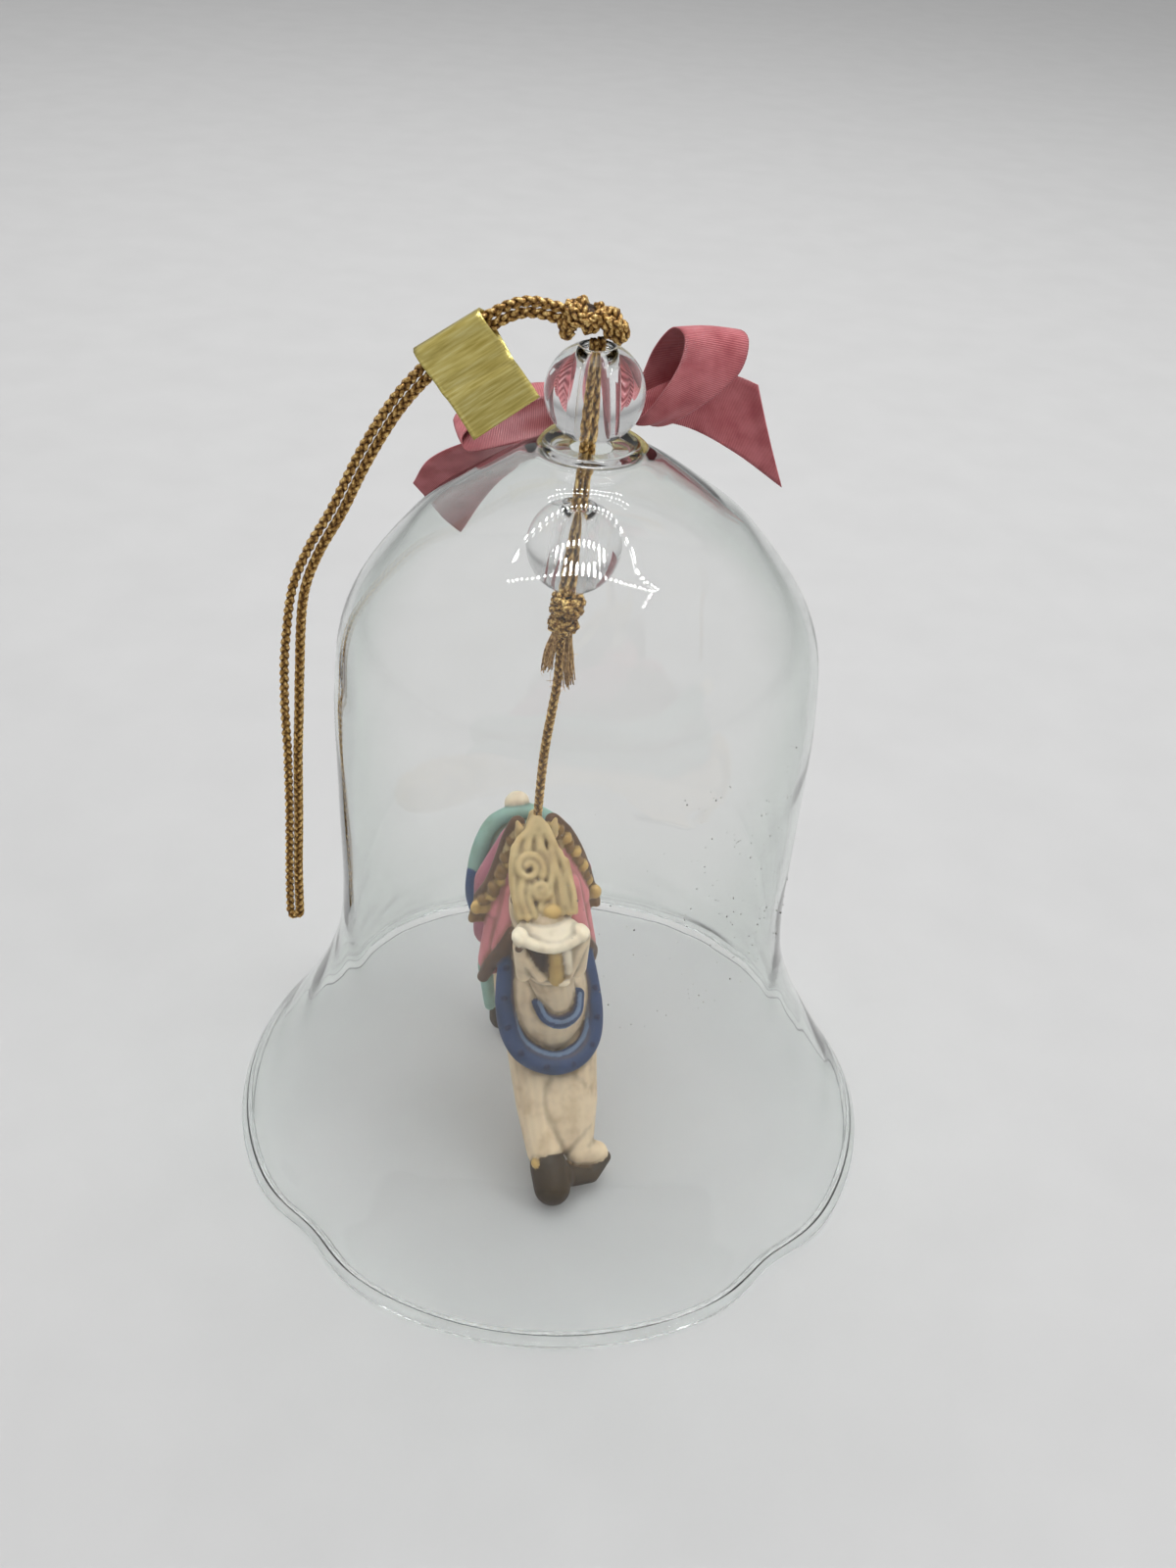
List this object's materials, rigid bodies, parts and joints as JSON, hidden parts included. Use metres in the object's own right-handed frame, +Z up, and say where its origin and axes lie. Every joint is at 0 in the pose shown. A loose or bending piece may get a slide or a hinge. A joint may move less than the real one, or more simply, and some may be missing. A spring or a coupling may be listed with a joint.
{
  "type": "glass bell ornament",
  "caption": "Clear blown-glass bell ornament with a painted carousel-horse clapper on a gold cord, clear beads, a satin bow and a hanging loop.",
  "frame": {"origin": "centre of the rim on the surface the bell stands on", "axes": "+Z up along the bell's axis, -Y towards the side the horse faces, the hanging loop droops towards -X"},
  "size_m": [0.084, 0.084, 0.1102],
  "materials": {
    "bell_glass": "clear, thin, blown",
    "bead_acrylic": "clear, polished",
    "gold_cord": "braided metallic thread",
    "frayed_fibre": "loose fibres",
    "gold_foil": "creased metallised film",
    "amber_glue": "set clear amber",
    "painted_resin": "cast, hand painted, antiqued",
    "pink_satin": "satin with fine cross ribs"
  },
  "bodies": {
    "bell": {"glass_bell": "bell_glass", "glue_dab": "amber_glue", "bow_knot": "pink_satin", "bow_loop_left": "pink_satin", "bow_loop_right": "pink_satin", "bow_tail_left": "pink_satin", "bow_tail_right": "pink_satin"},
    "bead_on_collar": {"upper_bead": "bead_acrylic"},
    "cord": {"through_cord": "gold_cord", "top_knot": "gold_cord"},
    "loop": {"hanging_loop": "gold_cord", "foil_sticker": "gold_foil"},
    "pendulum": {"bead_cord": "gold_cord", "lower_knot": "gold_cord", "frayed_end_left": "frayed_fibre", "frayed_end_right": "frayed_fibre"},
    "bead_in_dome": {"lower_bead": "bead_acrylic"},
    "clapper": {"clapper_cord": "gold_cord"},
    "horse": {"horse_figurine": "painted_resin"}
  },
  "joints": [
    {"name": "upper_bead_spin", "type": "hinge", "parent": "bell", "child": "bead_on_collar", "pos_m": [0, 0, 0.1005], "axis": [0, 0, 1], "continuous": true},
    {"name": "cord_lift", "type": "slide", "parent": "bell", "child": "cord", "axis": [0, 0, 1], "range_m": [0, 0.0035]},
    {"name": "loop_lift", "type": "hinge", "parent": "cord", "child": "loop", "pos_m": [-0.0056, 0, 0.1085], "axis": [0, 1, 0], "range_deg": [0, 95]},
    {"name": "clapper_side_swing", "type": "hinge", "parent": "cord", "child": "pendulum", "pos_m": [-0.00045, 0, 0.0935], "axis": [0, 1, 0], "range_deg": [-9, 4]},
    {"name": "lower_bead_spin", "type": "hinge", "parent": "pendulum", "child": "bead_in_dome", "pos_m": [-0.00121, 0, 0.08303], "axis": [0.072, 0, 0.9974], "continuous": true},
    {"name": "clapper_fore_swing", "type": "hinge", "parent": "pendulum", "child": "clapper", "pos_m": [-0.00202, 0, 0.07171], "axis": [1, 0, 0], "range_deg": [-4, 4]},
    {"name": "horse_turn", "type": "hinge", "parent": "clapper", "child": "horse", "pos_m": [-0.0038, 0, 0.0471], "axis": [0, 0, 1], "continuous": true}
  ]
}
